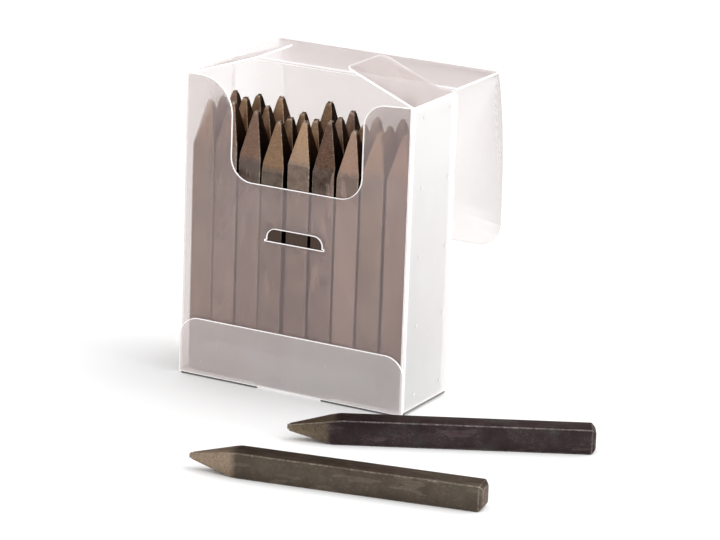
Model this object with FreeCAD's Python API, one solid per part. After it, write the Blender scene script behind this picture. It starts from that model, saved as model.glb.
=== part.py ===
"""Letter punch set in a folded translucent carton: one STEP file for each piece.

Frame: origin at the middle of the carton's underside, +Z up, the carton's front faces -Y. Millimetres.
The carton is one folded sheet. Each flat panel is a solid, and each fold is a rounded crease between two
panels. The lid lies open behind the carton and two punches lie on the table in front of it.
"""

import FreeCAD
import Part
import math
import os

os.makedirs("parts", exist_ok=True)

V = FreeCAD.Vector

# ---- Punch bar and how the punches stand -----------------------------------------------------------
SHANK = 6.35
PUNCH_LENGTH = 72.1
COLUMNS = 9
ROW_COUNT = 3
COLUMN_GAP = 0.6
FRONT_GAP = 0.12
MIDDLE_GAP = 0.6
BACK_GAP = 0.8

# ---- Sheet and carton ------------------------------------------------------------------------------
SHEET = 0.5
PACK_SLACK_X = 6.55
PACK_SLACK_Y = 3.15
HEADROOM = 5.7
CREASE_R = 0.36
# Across the carton there is one layer on the left and two on the right, where the seam is welded.
WIDTH = COLUMNS * SHANK + PACK_SLACK_X + 3 * SHEET
DEPTH = ROW_COUNT * SHANK + PACK_SLACK_Y + 2 * SHEET
SIDE_TOP = SHEET + PUNCH_LENGTH + HEADROOM
FLAP_CLEARANCE = 0.3
HINGE_CLEARANCE = 0.1

HALF_W = WIDTH / 2
HALF_D = DEPTH / 2
INNER_X = HALF_W - SHEET
INNER_Y = HALF_D - SHEET
# The welded side has a second layer inside, so its inner wall stands one sheet further in.
SEAM_X = INNER_X - SHEET

# Top folds: the dust flaps fold on the side panels, the lid folds above them on the back panel.
DUST_AXIS_X = HALF_W - CREASE_R
DUST_AXIS_Z = SIDE_TOP + CREASE_R
LID_DUST_GAP = 0.4
LID_SHUT_GAP = 0.25
LID_AXIS_Y = HALF_D - CREASE_R
LID_AXIS_Z = DUST_AXIS_Z + SHEET + LID_DUST_GAP
BACK_TOP = LID_AXIS_Z - CREASE_R - HINGE_CLEARANCE
FRONT_TOP = LID_AXIS_Z - SHEET / 2 - LID_SHUT_GAP

# ---- Front panel -----------------------------------------------------------------------------------
SCOOP_LEFT = -18.8
SCOOP_RIGHT = 18.5
SCOOP_DEPTH = 25.75
SCOOP_FLOOR = FRONT_TOP - SCOOP_DEPTH
SCOOP_FLOOR_R = 6.0
SHOULDER_LEFT_R = 9.5
SHOULDER_RIGHT_R = 6.3
SHOULDER_DIP = 0.8
SLOT_HALF_W = 7.9
SLOT_HEIGHT = 3.3
SLOT_R = 2.4
SLOT_TICK = 0.5
SLOT_TICK_HEIGHT = 0.3
LOCK_TAB_HALF_W = 9.15
LOCK_TAB_SLACK = 0.15

# ---- Bottom ----------------------------------------------------------------------------------------
BOTTOM_INSET = 2 * CREASE_R + 0.03
BOTTOM_FLAP_TOP = 15.4
BOTTOM_FLAP_R = 5.5
INNER_FLAP_LENGTH = 21.0

# ---- Welded seam -----------------------------------------------------------------------------------
SEAM_FLAP_BACK_GAP = 1.6
SEAM_EDGE_GAP = 0.2
WELD_R = 0.55
WELD_PROUD = 0.12
WELD_COLUMNS_Y = (-6.3, 7.5)
WELD_ROWS = 5
WELD_FIRST_Z = 4.9
WELD_PITCH = 17.75

# ---- Lid -------------------------------------------------------------------------------------------
LID_FRONT_GAP = 0.2
LID_INSET = 0.3
LID_WIDTH = WIDTH - 2 * LID_INSET
LID_LENGTH = LID_AXIS_Y + HALF_D + LID_FRONT_GAP + SHEET / 2
LID_FLAP_LENGTH = 48.0
LID_FLAP_R = 7.0
LID_FLAP_HANG = -83.5
TONGUE_LENGTH = 10.8
TONGUE_SLACK = 0.6
TONGUE_SLIT = 0.5
# The slot's top edge is level with the tongue's root when the lid is shut.
SLOT_BOTTOM = LID_AXIS_Z - LID_FLAP_LENGTH + TONGUE_LENGTH - SLOT_HEIGHT
TONGUE_HALF_W = SLOT_HALF_W - TONGUE_SLACK

# ---- Dust flaps ------------------------------------------------------------------------------------
DUST_LENGTH = 21.0
DUST_LEFT_RAISE = 19.0
DUST_RIGHT_RAISE = 22.0
DUST_BACK_STEP = 0.3
DUST_RELIEF = 2.4
DUST_RELIEF_START = 1.75
DUST_RELIEF_END = 3.4
DUST_FRONT_R = 1.8
DUST_BACK_R = 2.4

# ---- Punches ---------------------------------------------------------------------------------------
SHANK_EDGE_R = 0.3
STRUCK_CHAMFER = 1.0
TAPER = 11.0
TIP_DEPTH = 1.4
TIP_NARROW = 1.1
TIP_REGULAR = 1.4
TIP_WIDE = 1.6
LETTER_RAISE = 0.3
LETTER_STROKE = 0.15
LETTER_SIDE_MARGIN = 0.2
LETTER_END_MARGIN = 0.14

# Rows of punches front to back: (letter, sideways shift from its column, how much lower its tip is).
# The punches stand loosely, so the spacing is uneven and their lengths differ by a few millimetres.
ROWS = (
    (
        ("a", 0.40, 0.7), ("b", 0.10, 0.0), ("c", 0.05, 1.5), ("d", -0.25, 3.1), ("e", 0.25, 2.1),
        ("f", 0.40, 1.0), ("g", 0.35, 2.4), ("h", 0.35, 1.7), ("i", 0.50, 1.3),
    ),
    (
        ("j", -0.15, 1.0), ("k", -0.45, 0.4), ("l", -0.85, 1.6), ("m", -1.15, 3.7),
        ("n", -0.60, 3.1), ("o", -0.75, 1.7), ("p", -0.90, 2.6), ("q", -0.55, 2.0),
    ),
    (
        ("s", -0.80, 1.2), ("t", -0.75, 1.1), ("u", -1.10, 0.7), ("v", -1.50, 3.8),
        ("w", -0.90, 0.0), ("x", -1.15, 1.4), ("y", -1.20, 2.2), ("z", -0.85, 1.6),
    ),
)
ROW_GAPS = (FRONT_GAP, MIDDLE_GAP, BACK_GAP)
# Loose punches: letter, struck end's x and y on the table, the heading from there to the tip, and how
# much longer than the driving length each one is.
LOOSE = (
    ("r", 79.98, -58.93, 191.3, 0.9),
    ("ampersand", 83.36, -6.92, 207.9, 3.0),
)
NARROW_LETTERS = ("i", "j", "l")
WIDE_LETTERS = ("m", "w", "ampersand")

# Letter strokes as polylines on a grid 4 wide and 6 high, read the right way round.
STROKES = {
    "a": (((0, 0), (2, 6), (4, 0)), ((0.8, 2.2), (3.2, 2.2))),
    "b": (((0, 0), (0, 6), (2.6, 6), (3.6, 5.2), (3.6, 4), (2.6, 3.2), (0, 3.2)),
          ((2.6, 3.2), (4, 2.3), (4, 0.9), (3, 0), (0, 0))),
    "c": (((4, 5), (3, 6), (1, 6), (0, 5), (0, 1), (1, 0), (3, 0), (4, 1)),),
    "d": (((0, 0), (0, 6), (2.6, 6), (4, 4.6), (4, 1.4), (2.6, 0), (0, 0)),),
    "e": (((4, 6), (0, 6), (0, 0), (4, 0)), ((0, 3.1), (3.2, 3.1))),
    "f": (((4, 6), (0, 6), (0, 0)), ((0, 3.1), (3.2, 3.1))),
    "g": (((4, 5), (3, 6), (1, 6), (0, 5), (0, 1), (1, 0), (3, 0), (4, 1), (4, 2.7), (2.2, 2.7)),),
    "h": (((0, 0), (0, 6)), ((4, 0), (4, 6)), ((0, 3), (4, 3))),
    "i": (((2, 0), (2, 6)), ((1, 0), (3, 0)), ((1, 6), (3, 6))),
    "j": (((3, 6), (3, 1), (2, 0), (1, 0), (0, 1)),),
    "k": (((0, 0), (0, 6)), ((4, 6), (0, 2.6)), ((1.4, 3.8), (4, 0))),
    "l": (((0.5, 6), (0.5, 0), (3.5, 0)),),
    "m": (((0, 0), (0, 6), (2, 2.6), (4, 6), (4, 0)),),
    "n": (((0, 0), (0, 6), (4, 0), (4, 6)),),
    "o": (((1, 0), (0, 1), (0, 5), (1, 6), (3, 6), (4, 5), (4, 1), (3, 0), (1, 0)),),
    "p": (((0, 0), (0, 6), (3, 6), (4, 5.2), (4, 3.7), (3, 2.9), (0, 2.9)),),
    "q": (((1, 0), (0, 1), (0, 5), (1, 6), (3, 6), (4, 5), (4, 1), (3, 0), (1, 0)), ((2.5, 1.7), (4.2, -0.3))),
    "r": (((0, 0), (0, 6), (3, 6), (4, 5.2), (4, 3.9), (3, 3.1), (0, 3.1)), ((2, 3.1), (4, 0))),
    "s": (((4, 5), (3, 6), (1, 6), (0, 5), (0, 4), (4, 2), (4, 1), (3, 0), (1, 0), (0, 1)),),
    "t": (((0, 6), (4, 6)), ((2, 6), (2, 0))),
    "u": (((0, 6), (0, 1), (1, 0), (3, 0), (4, 1), (4, 6)),),
    "v": (((0, 6), (2, 0), (4, 6)),),
    "w": (((0, 6), (0.9, 0), (2, 3.6), (3.1, 0), (4, 6)),),
    "x": (((0, 0), (4, 6)), ((0, 6), (4, 0))),
    "y": (((0, 6), (2, 3), (4, 6)), ((2, 3), (2, 0))),
    "z": (((0, 6), (4, 6), (0, 0), (4, 0)),),
    "ampersand": (((4, 0), (0.9, 4.3), (0.9, 5.3), (1.7, 6), (2.5, 5.3), (2.5, 4.4), (0.2, 2.2),
                   (0.2, 0.8), (1.2, 0), (2.3, 0), (4, 2.4)),),
}
GRID_W = 4.0
GRID_H = 6.0


def save(name, shape):
    """Write one piece as its own STEP file."""
    shape.exportStep("parts/" + name + ".step")


def box(x0, x1, y0, y1, z0, z1):
    """A box between two corners."""
    return Part.makeBox(x1 - x0, y1 - y0, z1 - z0, V(x0, y0, z0))


def rod(start, end, radius):
    """A round rod between two points."""
    along = end - start
    return Part.makeCylinder(radius, along.Length, start, along)


def outline(corners, place):
    """A closed wire from (u, v, corner radius) corners, each put in space by place(u, v)."""
    count = len(corners)
    edges = []
    ends = []
    arcs = []
    for i in range(count):
        u, v, radius = corners[i]
        pu, pv, _ = corners[i - 1]
        nu, nv, _ = corners[(i + 1) % count]
        before = V(pu - u, pv - v, 0).normalize()
        after = V(nu - u, nv - v, 0).normalize()
        here = V(u, v, 0)
        if radius <= 0:
            ends.append((here, here))
            arcs.append(None)
            continue
        half = before.getAngle(after) / 2
        reach = radius / math.tan(half)
        middle = (before + after).normalize() * (radius / math.sin(half) - radius)
        ends.append((here + before * reach, here + after * reach))
        arcs.append(here + middle)
    for i in range(count):
        first, last = ends[i]
        following = ends[(i + 1) % count][0]
        if arcs[i] is not None:
            points = [place(p.x, p.y) for p in (first, arcs[i], last)]
            edges.append(Part.Arc(*points).toShape())
        if (following - last).Length > 1e-6:
            edges.append(Part.makeLine(place(last.x, last.y), place(following.x, following.y)))
    return Part.Wire(edges)


def sheet_piece(corners, place, thickness_vector, holes=()):
    """A flat piece of sheet: an outline and any cut-outs, given its thickness."""
    face = Part.Face(outline(corners, place))
    solid = face.extrude(thickness_vector)
    for hole in holes:
        solid = solid.cut(Part.Face(outline(hole, place)).extrude(thickness_vector))
    return solid


def corner_fold(cx, cy, start_angle, z0, z1):
    """A quarter-round upright fold, one sheet thick, about the inner corner of two panels."""
    fold = Part.makeCylinder(SHEET, z1 - z0, V(cx, cy, z0), V(0, 0, 1), 90)
    fold.rotate(V(cx, cy, 0), V(0, 0, 1), start_angle)
    return fold


def floor_fold(cy, turn, half_length):
    """A quarter-round fold along X under y = cy. With no turn it faces back and down."""
    fold = Part.makeCylinder(SHEET, 2 * half_length, V(0, 0, -half_length), V(0, 0, 1), 90)
    fold.rotate(V(0, 0, 0), V(0, 1, 0), 90)
    fold.rotate(V(0, 0, 0), V(1, 0, 0), turn)
    fold.translate(V(0, cy, SHEET))
    return fold


# ---- Carton wall -----------------------------------------------------------------------------------
def front_place(x, z):
    """Puts a front view point on the front panel's outer face."""
    return V(x, -HALF_D, z)


def build_front_panel():
    """The front panel with its finger scoop, its lock slot and the tab that locks the bottom."""
    panel = (
        (-INNER_X, SHEET, 0),
        (-LOCK_TAB_HALF_W, SHEET, 0),
        (-LOCK_TAB_HALF_W, 0, 0),
        (LOCK_TAB_HALF_W, 0, 0),
        (LOCK_TAB_HALF_W, SHEET, 0),
        (SEAM_X, SHEET, 0),
        (SEAM_X, FRONT_TOP, 0),
        (SCOOP_RIGHT, FRONT_TOP - SHOULDER_DIP, SHOULDER_RIGHT_R),
        (SCOOP_RIGHT, SCOOP_FLOOR, SCOOP_FLOOR_R),
        (SCOOP_LEFT, SCOOP_FLOOR, SCOOP_FLOOR_R),
        (SCOOP_LEFT, FRONT_TOP, SHOULDER_LEFT_R),
        (-INNER_X, FRONT_TOP, 0),
    )
    slot_top = SLOT_BOTTOM + SLOT_HEIGHT
    tick_x = SLOT_HALF_W + SLOT_TICK
    tick_top = SLOT_BOTTOM + SLOT_TICK_HEIGHT
    slot = (
        (-SLOT_HALF_W, SLOT_BOTTOM, 0),
        (SLOT_HALF_W, SLOT_BOTTOM, 0),
        (SLOT_HALF_W, slot_top, SLOT_R),
        (-SLOT_HALF_W, slot_top, SLOT_R),
    )
    ticks = (
        (-tick_x, SLOT_BOTTOM, 0),
        (tick_x, SLOT_BOTTOM, 0),
        (tick_x, tick_top, 0),
        (-tick_x, tick_top, 0),
    )
    return sheet_piece(panel, front_place, V(0, SHEET, 0), (slot, ticks))


def build_seam_flap():
    """The glue flap inside the right side, folded from the front panel."""
    return box(SEAM_X, INNER_X, -INNER_Y, INNER_Y - SEAM_FLAP_BACK_GAP, SHEET + BOTTOM_INSET, SIDE_TOP)


def build_side_panels():
    """Left side panel, and the right side panel whose front edge is the free edge of the seam."""
    foot = SHEET * 1.5 + CREASE_R
    left = box(-HALF_W, -INNER_X, -INNER_Y, INNER_Y, foot, SIDE_TOP)
    right = box(INNER_X, HALF_W, -INNER_Y - SEAM_EDGE_GAP, INNER_Y, foot, SIDE_TOP)
    return left, right


def build_welds():
    """Low round spot welds that hold the two layers of the right side together."""
    welds = []
    for y in WELD_COLUMNS_Y:
        for row in range(WELD_ROWS):
            z = WELD_FIRST_Z + row * WELD_PITCH
            welds.append(rod(V(HALF_W, y, z), V(HALF_W + WELD_PROUD, y, z), WELD_R))
    return Part.makeCompound(welds)


def build_carton_wall():
    """Front, back and side panels with the upright folds between them."""
    save("front_panel", build_front_panel())
    save("back_panel", box(-INNER_X, INNER_X, INNER_Y, HALF_D, SHEET, BACK_TOP))
    left, right = build_side_panels()
    save("left_side_panel", left)
    save("right_side_panel", right)
    save("seam_flap", build_seam_flap())
    save("seam_spot_welds", build_welds())
    save("front_left_fold", corner_fold(-INNER_X, -INNER_Y, 180, SHEET, FRONT_TOP))
    save("front_right_fold", corner_fold(SEAM_X, -INNER_Y, 270, SHEET, FRONT_TOP))
    save("back_left_fold", corner_fold(-INNER_X, INNER_Y, 90, SHEET, BACK_TOP))
    save("back_right_fold", corner_fold(INNER_X, INNER_Y, 0, SHEET, BACK_TOP))


# ---- Bottom ----------------------------------------------------------------------------------------
def build_bottom():
    """Bottom panel, its folds, the outer front flap and the two inner flaps the punches stand on."""
    half = HALF_W - BOTTOM_INSET
    slit_half = LOCK_TAB_HALF_W + LOCK_TAB_SLACK
    slit = box(-slit_half, slit_half, -HALF_D - SHEET, -INNER_Y + LOCK_TAB_SLACK, 0, SHEET)
    save("bottom_panel", box(-half, half, -HALF_D, INNER_Y, 0, SHEET).cut(slit))
    save("bottom_back_fold", floor_fold(INNER_Y, 0, half))
    save("bottom_front_fold", floor_fold(-HALF_D, -90, half).cut(slit))

    flap = (
        (-HALF_W, SHEET, 0),
        (HALF_W, SHEET, 0),
        (HALF_W, BOTTOM_FLAP_TOP, BOTTOM_FLAP_R),
        (-HALF_W, BOTTOM_FLAP_TOP, BOTTOM_FLAP_R),
    )
    save("bottom_front_flap", sheet_piece(flap, front_place, V(0, -SHEET, 0)))

    flap_z = SHEET * 1.5
    reach = INNER_Y - FLAP_CLEARANCE
    for name, side in (("left", -1), ("right", 1)):
        fold = rod(V(side * DUST_AXIS_X, -reach, flap_z), V(side * DUST_AXIS_X, reach, flap_z), CREASE_R)
        ends = sorted((side * DUST_AXIS_X, side * (INNER_X - INNER_FLAP_LENGTH)))
        plate = box(ends[0], ends[1], -reach, reach, SHEET, 2 * SHEET)
        save("bottom_" + name + "_fold", fold)
        save("bottom_" + name + "_flap", plate.cut(fold))


# ---- Lid -------------------------------------------------------------------------------------------
def build_lid():
    """The lid panel and its hanging front flap with the tongue, each with the fold it turns on."""
    half = LID_WIDTH / 2
    hinge = V(0, LID_AXIS_Y, LID_AXIS_Z)
    side = V(half, 0, 0)
    lid_fold = rod(hinge - side, hinge + side, CREASE_R)
    end = V(0, LID_AXIS_Y + LID_LENGTH, LID_AXIS_Z)
    flap_fold = rod(end - side, end + side, CREASE_R)
    panel = box(-half, half, LID_AXIS_Y, end.y, LID_AXIS_Z - SHEET / 2, LID_AXIS_Z + SHEET / 2)
    panel = panel.cut(lid_fold).cut(flap_fold)

    # The flap is drawn straight out from its fold, then turned down to where it hangs.
    slit_top = LID_FLAP_LENGTH - TONGUE_LENGTH
    flap = (
        (-half, 0, 0),
        (half, 0, 0),
        (half, LID_FLAP_LENGTH, LID_FLAP_R),
        (-half, LID_FLAP_LENGTH, LID_FLAP_R),
    )
    slits = []
    for slit_side in (-1, 1):
        x = slit_side * TONGUE_HALF_W
        slits.append((
            (x - TONGUE_SLIT / 2, slit_top, 0),
            (x + TONGUE_SLIT / 2, slit_top, 0),
            (x + TONGUE_SLIT / 2, LID_FLAP_LENGTH + 1, 0),
            (x - TONGUE_SLIT / 2, LID_FLAP_LENGTH + 1, 0),
        ))

    def place(x, y):
        return V(x, end.y + y, LID_AXIS_Z - SHEET / 2)

    hanging = sheet_piece(flap, place, V(0, 0, SHEET), slits)
    hanging.rotate(end, V(1, 0, 0), LID_FLAP_HANG)
    hanging = hanging.cut(flap_fold).cut(panel)

    save("lid_fold", lid_fold)
    save("lid_panel", panel)
    save("lid_flap_fold", flap_fold)
    save("lid_front_flap", hanging)


def build_dust_flap(name, side, raise_angle):
    """A dust flap on a side panel, raised from level, with its fold."""
    front = -INNER_Y + FLAP_CLEARANCE
    back = INNER_Y - FLAP_CLEARANCE
    step = back - DUST_BACK_STEP
    relief = LID_AXIS_Y - DUST_RELIEF - DUST_BACK_STEP
    flap = (
        (0, front, 0),
        (DUST_LENGTH, front, DUST_FRONT_R),
        (DUST_LENGTH, relief, DUST_BACK_R),
        (DUST_RELIEF_END, relief, 0),
        (DUST_RELIEF_START, step, 0),
        (0, step, 0),
    )
    axis = V(side * DUST_AXIS_X, 0, DUST_AXIS_Z)
    fold = rod(axis + V(0, front, 0), axis + V(0, step, 0), CREASE_R)

    def place(along, y):
        return V(axis.x - side * along, y, DUST_AXIS_Z - SHEET / 2)

    plate = sheet_piece(flap, place, V(0, 0, SHEET))
    plate.rotate(axis, V(0, 1, 0), side * raise_angle)
    save(name + "_dust_fold", fold)
    save(name + "_dust_flap", plate.cut(fold))


# ---- Punches ---------------------------------------------------------------------------------------
def frustum(low, high, z0, z1):
    """A straight-sided taper about the Z axis between two (x width, y width) rectangles."""
    wires = []
    for (wide, deep), z in ((low, z0), (high, z1)):
        x = wide / 2
        y = deep / 2
        points = [V(-x, -y, z), V(x, -y, z), V(x, y, z), V(-x, y, z), V(-x, -y, z)]
        wires.append(Part.makePolygon(points))
    return Part.makeLoft(wires, True, True)


def stroke_bar(start, end, z0, z1):
    """One straight stroke of a letter, with square ends half a stroke beyond its points."""
    along = end - start
    half = LETTER_STROKE / 2
    bar = Part.makeBox(along.Length + LETTER_STROKE, LETTER_STROKE, z1 - z0, V(-half, -half, z0))
    bar.rotate(V(0, 0, 0), V(0, 0, 1), math.degrees(math.atan2(along.y, along.x)))
    bar.translate(start)
    return bar


def tip_width(letter):
    """Wide letters have a wide tip and narrow ones a narrow tip."""
    if letter in NARROW_LETTERS:
        return TIP_NARROW
    if letter in WIDE_LETTERS:
        return TIP_WIDE
    return TIP_REGULAR


def letter_bars(letter, z):
    """The raised letter on the tip, mirrored so that it prints the right way round."""
    across = (tip_width(letter) - 2 * LETTER_SIDE_MARGIN - LETTER_STROKE) / GRID_W
    up = (TIP_DEPTH - 2 * LETTER_END_MARGIN - LETTER_STROKE) / GRID_H
    bars = []
    for line in STROKES[letter]:
        points = [V(-(u - GRID_W / 2) * across, (v - GRID_H / 2) * up, 0) for u, v in line]
        for start, end in zip(points, points[1:]):
            bars.append(stroke_bar(start, end, z, z + LETTER_RAISE))
    return bars


def build_punch(letter, length):
    """A punch standing on its struck end at the origin: square shank, ground taper, raised letter."""
    top = length - LETTER_RAISE
    shoulder = length - TAPER
    half = SHANK / 2
    corners = [(x, y, SHANK_EDGE_R) for x, y in ((-half, -half), (half, -half), (half, half), (-half, half))]
    shank = Part.Face(outline(corners, lambda x, y: V(x, y, 0))).extrude(V(0, 0, top))
    bar = (SHANK, SHANK)
    struck = (SHANK - 2 * STRUCK_CHAMFER, SHANK - 2 * STRUCK_CHAMFER)
    lower = frustum(struck, bar, 0, STRUCK_CHAMFER)
    middle = box(-half, half, -half, half, STRUCK_CHAMFER, shoulder)
    upper = frustum(bar, (tip_width(letter), TIP_DEPTH), shoulder, top)
    body = shank.common(lower.fuse([middle, upper]))
    body = body.fuse(letter_bars(letter, top))
    return body.removeSplitter().Solids[0]


def build_punches():
    """The standing punches in three rows, then the two that lie on the table."""
    flap_edge = INNER_X - INNER_FLAP_LENGTH
    pitch = SHANK + COLUMN_GAP
    y = -INNER_Y - SHANK / 2
    for gap, punches in zip(ROW_GAPS, ROWS):
        y += gap + SHANK
        for column, (letter, shift, lower) in enumerate(punches):
            x = (column - (COLUMNS - 1) / 2) * pitch + shift
            # Over an inner bottom flap a punch stands one sheet higher.
            on_flap = abs(x) + SHANK / 2 > flap_edge
            foot = 2 * SHEET if on_flap else SHEET
            punch = build_punch(letter, SHEET + PUNCH_LENGTH - lower - foot)
            punch.translate(V(x, y, foot))
            save("punch_" + letter, punch)
    for letter, x, y, heading, extra in LOOSE:
        punch = build_punch(letter, PUNCH_LENGTH + extra)
        punch.rotate(V(0, 0, 0), V(0, 1, 0), 90)
        punch.rotate(V(0, 0, 0), V(0, 0, 1), heading)
        punch.translate(V(x, y, SHANK / 2))
        save("punch_" + letter, punch)


build_carton_wall()
build_bottom()
build_lid()
build_dust_flap("left", -1, DUST_LEFT_RAISE)
build_dust_flap("right", 1, DUST_RIGHT_RAISE)
build_punches()
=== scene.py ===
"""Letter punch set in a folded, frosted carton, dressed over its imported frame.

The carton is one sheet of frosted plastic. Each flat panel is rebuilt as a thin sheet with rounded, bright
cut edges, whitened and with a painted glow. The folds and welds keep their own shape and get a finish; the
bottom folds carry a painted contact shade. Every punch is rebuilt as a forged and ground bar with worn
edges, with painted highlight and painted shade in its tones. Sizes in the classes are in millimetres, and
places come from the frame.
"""

import logging
import math
import random
from dataclasses import dataclass, field, replace
from enum import Enum
from typing import Any, Callable, Dict, List, Optional, Sequence, Tuple, Union

import bmesh
import bpy
from mathutils import Matrix, Vector
from mathutils.geometry import tessellate_polygon


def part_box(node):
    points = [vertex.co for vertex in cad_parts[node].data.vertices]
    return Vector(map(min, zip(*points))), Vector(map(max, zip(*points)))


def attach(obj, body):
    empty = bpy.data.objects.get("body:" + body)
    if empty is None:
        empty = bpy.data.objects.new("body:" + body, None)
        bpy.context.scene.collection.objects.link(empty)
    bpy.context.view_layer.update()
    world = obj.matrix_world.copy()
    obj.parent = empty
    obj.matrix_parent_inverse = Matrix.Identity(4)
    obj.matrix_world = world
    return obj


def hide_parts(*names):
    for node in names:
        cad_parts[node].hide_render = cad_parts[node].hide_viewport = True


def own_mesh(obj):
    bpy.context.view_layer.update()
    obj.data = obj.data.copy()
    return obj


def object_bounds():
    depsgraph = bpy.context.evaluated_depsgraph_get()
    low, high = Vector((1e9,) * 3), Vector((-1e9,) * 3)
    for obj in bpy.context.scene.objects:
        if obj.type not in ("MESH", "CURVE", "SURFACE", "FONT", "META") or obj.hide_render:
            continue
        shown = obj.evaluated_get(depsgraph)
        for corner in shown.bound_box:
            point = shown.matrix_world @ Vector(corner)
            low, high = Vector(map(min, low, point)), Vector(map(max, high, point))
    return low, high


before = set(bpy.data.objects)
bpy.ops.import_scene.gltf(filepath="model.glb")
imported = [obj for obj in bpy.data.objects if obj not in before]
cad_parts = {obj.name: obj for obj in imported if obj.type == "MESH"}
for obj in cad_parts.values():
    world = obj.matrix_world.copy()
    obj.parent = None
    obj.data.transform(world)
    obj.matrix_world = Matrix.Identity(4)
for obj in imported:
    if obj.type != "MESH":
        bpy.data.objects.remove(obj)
CAD_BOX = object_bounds()

LOG = logging.getLogger("punch_set")
MM = 0.001
SAME_PLACE = 1e-5
SAME_AREA = 1e-9
NEARLY_STRAIGHT = 0.02
SHARP_DEGREES = 38
Corner = Tuple[float, float, float]
Colour = Tuple[float, float, float]
Number = Union["Wire", float]


class Edge(Enum):
    """How one edge of a flat sheet piece ends."""

    CUT = "cut"
    FOLD = "fold"


class Slot(Enum):
    """The record's material slots."""

    SHEET = "frosted_sheet"
    CREASE = "sheet_fold"
    STEEL = "punch_steel"


# ---- Shader helpers --------------------------------------------------------------------------------
class Wire:
    """One shader socket that can be used in sums."""

    def __init__(self, graph: "Graph", socket: bpy.types.NodeSocket) -> None:
        """Keep the socket and the graph it belongs to."""
        self.graph = graph
        self.socket = socket

    def maths(self, operation: str, *values: Number, clamp: bool = False) -> "Wire":
        """Add a Math node.

        Args:
            operation: The Math node's operation.
            values: Its inputs in order, as wires or numbers.
            clamp: Keep the result between 0 and 1.

        Returns:
            The result.
        """
        settings = {"operation": operation, "use_clamp": clamp}
        return self.graph.node("ShaderNodeMath", settings, dict(enumerate(values)))

    def __add__(self, other: Number) -> "Wire":
        """Sum."""
        return self.maths("ADD", self, other)

    def __radd__(self, other: Number) -> "Wire":
        """Sum with the number first."""
        return self.maths("ADD", other, self)

    def __sub__(self, other: Number) -> "Wire":
        """Difference."""
        return self.maths("SUBTRACT", self, other)

    def __rsub__(self, other: Number) -> "Wire":
        """Difference with the number first."""
        return self.maths("SUBTRACT", other, self)

    def __mul__(self, other: Number) -> "Wire":
        """Product."""
        return self.maths("MULTIPLY", self, other)

    def __rmul__(self, other: Number) -> "Wire":
        """Product with the number first."""
        return self.maths("MULTIPLY", other, self)

    def clamped(self) -> "Wire":
        """Keep the value between 0 and 1."""
        return self.maths("ADD", self, 0.0, clamp=True)

    def size(self) -> "Wire":
        """The value without its sign."""
        return self.maths("ABSOLUTE", self)

    def ramp(self, low: float, high: float) -> "Wire":
        """Go smoothly from 0 at low to 1 at high.

        Args:
            low: The value that gives 0.
            high: The value that gives 1.

        Returns:
            The smooth step.
        """
        settings = {"interpolation_type": "SMOOTHSTEP"}
        return self.graph.node("ShaderNodeMapRange", settings, {0: self, 1: low, 2: high, 3: 0.0, 4: 1.0})


class Graph:
    """A new material and the nodes put into it."""

    def __init__(self, name: str) -> None:
        """Start an empty material of that name."""
        self.material = bpy.data.materials.new(name)
        self.material.use_nodes = True
        self.material.node_tree.nodes.clear()

    def node(
        self,
        kind: str,
        settings: Optional[Dict[str, Any]] = None,
        sockets: Optional[Dict[Union[int, str], Any]] = None,
        output: Union[int, str] = 0,
    ) -> Wire:
        """Add one node.

        Args:
            kind: The node's type name.
            settings: Its own settings, set before its sockets.
            sockets: Values or wires for its inputs, by place or name.
            output: Which output to hand back.

        Returns:
            The chosen output.
        """
        made = self.material.node_tree.nodes.new(kind)
        for name, value in (settings or {}).items():
            setattr(made, name, value)
        for key, value in (sockets or {}).items():
            if isinstance(value, Wire):
                self.material.node_tree.links.new(value.socket, made.inputs[key])
            elif isinstance(value, tuple) and made.inputs[key].type == "RGBA":
                made.inputs[key].default_value = (*value, 1.0)
            else:
                made.inputs[key].default_value = value
        return Wire(self, made.outputs[output])

    def mix(self, low: Any, high: Any, share: Number) -> Wire:
        """Mix two colours.

        Args:
            low: The colour at share 0.
            high: The colour at share 1.
            share: How much of high.

        Returns:
            The mixed colour.
        """
        return self.node("ShaderNodeMix", {"data_type": "RGBA"}, {0: share, 6: low, 7: high}, 2)

    def place(self, scale: Vector, attribute: Optional[str] = None) -> Wire:
        """Coordinates in the piece's own frame, stretched.

        Args:
            scale: The stretch along each axis.
            attribute: A vector attribute to read in place of the object's coordinates.

        Returns:
            The stretched coordinates.
        """
        if attribute is None:
            where = self.node("ShaderNodeTexCoord", output="Object")
        else:
            where = self.node("ShaderNodeAttribute", {"attribute_name": attribute}, output="Vector")
        return self.node("ShaderNodeVectorMath", {"operation": "MULTIPLY"}, {0: where, 1: tuple(scale)})

    def noise(self, where: Wire, scale: float, detail: float = 2.0, rough: float = 0.5) -> Wire:
        """Soft random noise between 0 and 1.

        Args:
            where: The coordinates.
            scale: How fine it is.
            detail: How many octaves.
            rough: How strong the fine octaves are.

        Returns:
            The noise.
        """
        sockets = {"Vector": where, "Scale": scale, "Detail": detail, "Roughness": rough}
        return self.node("ShaderNodeTexNoise", None, sockets)

    def bump(self, height: Number, strength: float, distance: float) -> Wire:
        """Turn a height into a normal.

        Args:
            height: The height field.
            strength: How much of it shows.
            distance: How far a height of 1 stands out, in metres.

        Returns:
            The normal.
        """
        sockets = {"Height": height, "Strength": strength, "Distance": distance}
        return self.node("ShaderNodeBump", None, sockets)

    def shader(self, kind: str, sockets: Dict[Union[int, str], Any]) -> Wire:
        """Add a surface shader."""
        return self.node(kind, None, sockets)

    def blend(self, share: Number, low: Wire, high: Wire) -> Wire:
        """Mix two shaders, share 0 for the first and 1 for the second."""
        return self.node("ShaderNodeMixShader", None, {0: share, 1: low, 2: high})

    def done(self, surface: Wire) -> bpy.types.Material:
        """Join the surface to the output and hand back the material."""
        tree = self.material.node_tree
        tree.links.new(surface.socket, tree.nodes.new("ShaderNodeOutputMaterial").inputs["Surface"])
        return self.material


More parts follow.
